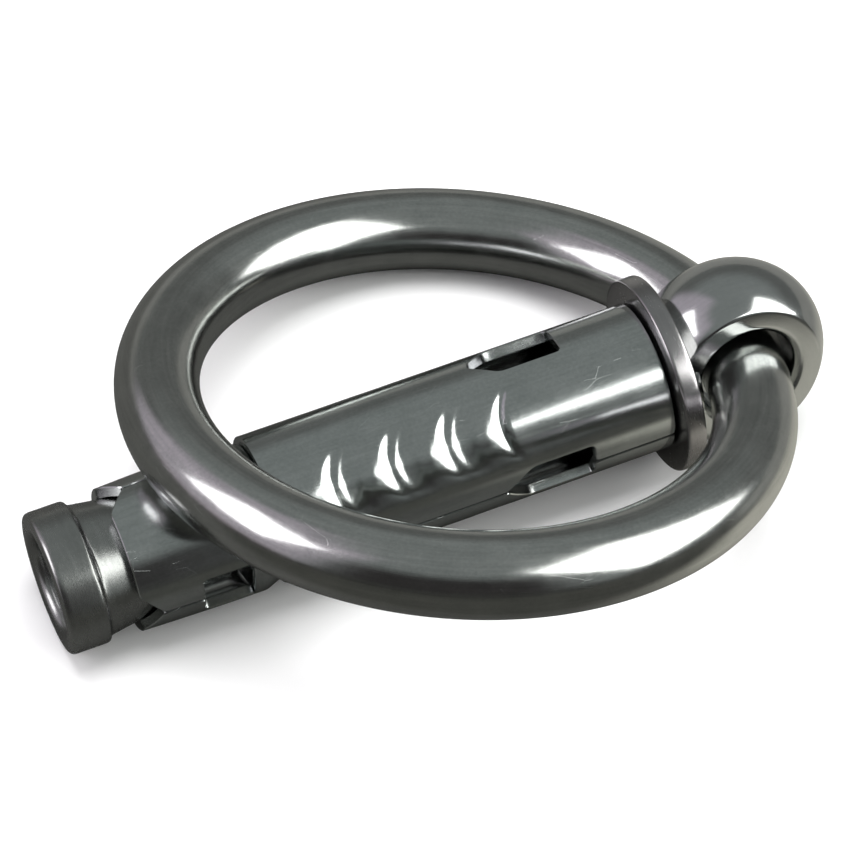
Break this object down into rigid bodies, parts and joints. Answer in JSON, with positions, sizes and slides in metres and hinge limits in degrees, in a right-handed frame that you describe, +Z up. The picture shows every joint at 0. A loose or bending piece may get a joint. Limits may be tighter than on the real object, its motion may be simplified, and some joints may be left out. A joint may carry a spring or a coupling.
{
  "type": "roof anchor",
  "caption": "Expansion anchor with a forged eye and a loose welded ring, for fixing to a roof or wall of concrete or masonry",
  "frame": {"origin": "centre of the footprint on the surface that the anchor lies on", "axes": "+X level, from the expansion end towards the eye; +Z up; the anchor lies as pictured, on the rims of the washer and the cone nut and the far side of the ring"},
  "size_m": [0.0984, 0.076, 0.0359],
  "materials": {
    "ring_steel": "satin ground stainless wire",
    "bolt_steel": "polished forged stainless",
    "washer_steel": "plain rolled stainless",
    "sleeve_steel": "bright rolled stainless sheet",
    "nut_steel": "turned stainless"
  },
  "bodies": {
    "shield": {"spacer_sleeve": "sleeve_steel", "expansion_collar": "sleeve_steel"},
    "bolt": {"eye_bolt": "bolt_steel"},
    "washer": {"washer": "washer_steel"},
    "ring": {"ring": "ring_steel"},
    "cone": {"cone_nut": "nut_steel"},
    "leaf_1": {"expansion_leaf_1": "sleeve_steel"},
    "leaf_2": {"expansion_leaf_2": "sleeve_steel"},
    "leaf_3": {"expansion_leaf_3": "sleeve_steel"}
  },
  "joints": [
    {"name": "bolt_turn", "type": "hinge", "parent": "shield", "child": "bolt", "pos_m": [0.0377, -0.00244, 0.01294], "axis": [-0.9987, 0, -0.05], "range_deg": [0, 720]},
    {"name": "cone_draw", "type": "slide", "parent": "shield", "child": "cone", "axis": [0.9987, 0, 0.05], "range_m": [0, 0.0035]},
    {"name": "washer_spin", "type": "hinge", "parent": "bolt", "child": "washer", "pos_m": [0.02841, -0.00244, 0.01203], "axis": [-0.9987, 0, -0.05], "continuous": true},
    {"name": "ring_swing", "type": "hinge", "parent": "bolt", "child": "ring", "pos_m": [0.0377, -0.00244, 0.01294], "axis": [0.0171, 0.9399, -0.341], "range_deg": [0, 160]},
    {"name": "leaf_1_bend", "type": "hinge", "parent": "shield", "child": "leaf_1", "pos_m": [-0.02679, -0.00639, 0.01708], "axis": [-0.0237, 0.881, 0.4726], "range_deg": [0, 2.6]},
    {"name": "leaf_2_bend", "type": "hinge", "parent": "shield", "child": "leaf_2", "pos_m": [-0.0264, 0.00591, 0.00947], "axis": [0.05, -0.0307, -0.9983], "range_deg": [0, 2.6]},
    {"name": "leaf_3_bend", "type": "hinge", "parent": "shield", "child": "leaf_3", "pos_m": [-0.02606, -0.00684, 0.00264], "axis": [-0.0263, -0.8503, 0.5257], "range_deg": [0, 2.6]}
  ],
  "couplings": [
    {"joint": "cone_draw", "follows": "bolt_turn", "m_per_rad": 0.0002785},
    {"joint": "leaf_1_bend", "follows": "bolt_turn", "ratio": 0.0036},
    {"joint": "leaf_2_bend", "follows": "bolt_turn", "ratio": 0.0036},
    {"joint": "leaf_3_bend", "follows": "bolt_turn", "ratio": 0.0036}
  ]
}
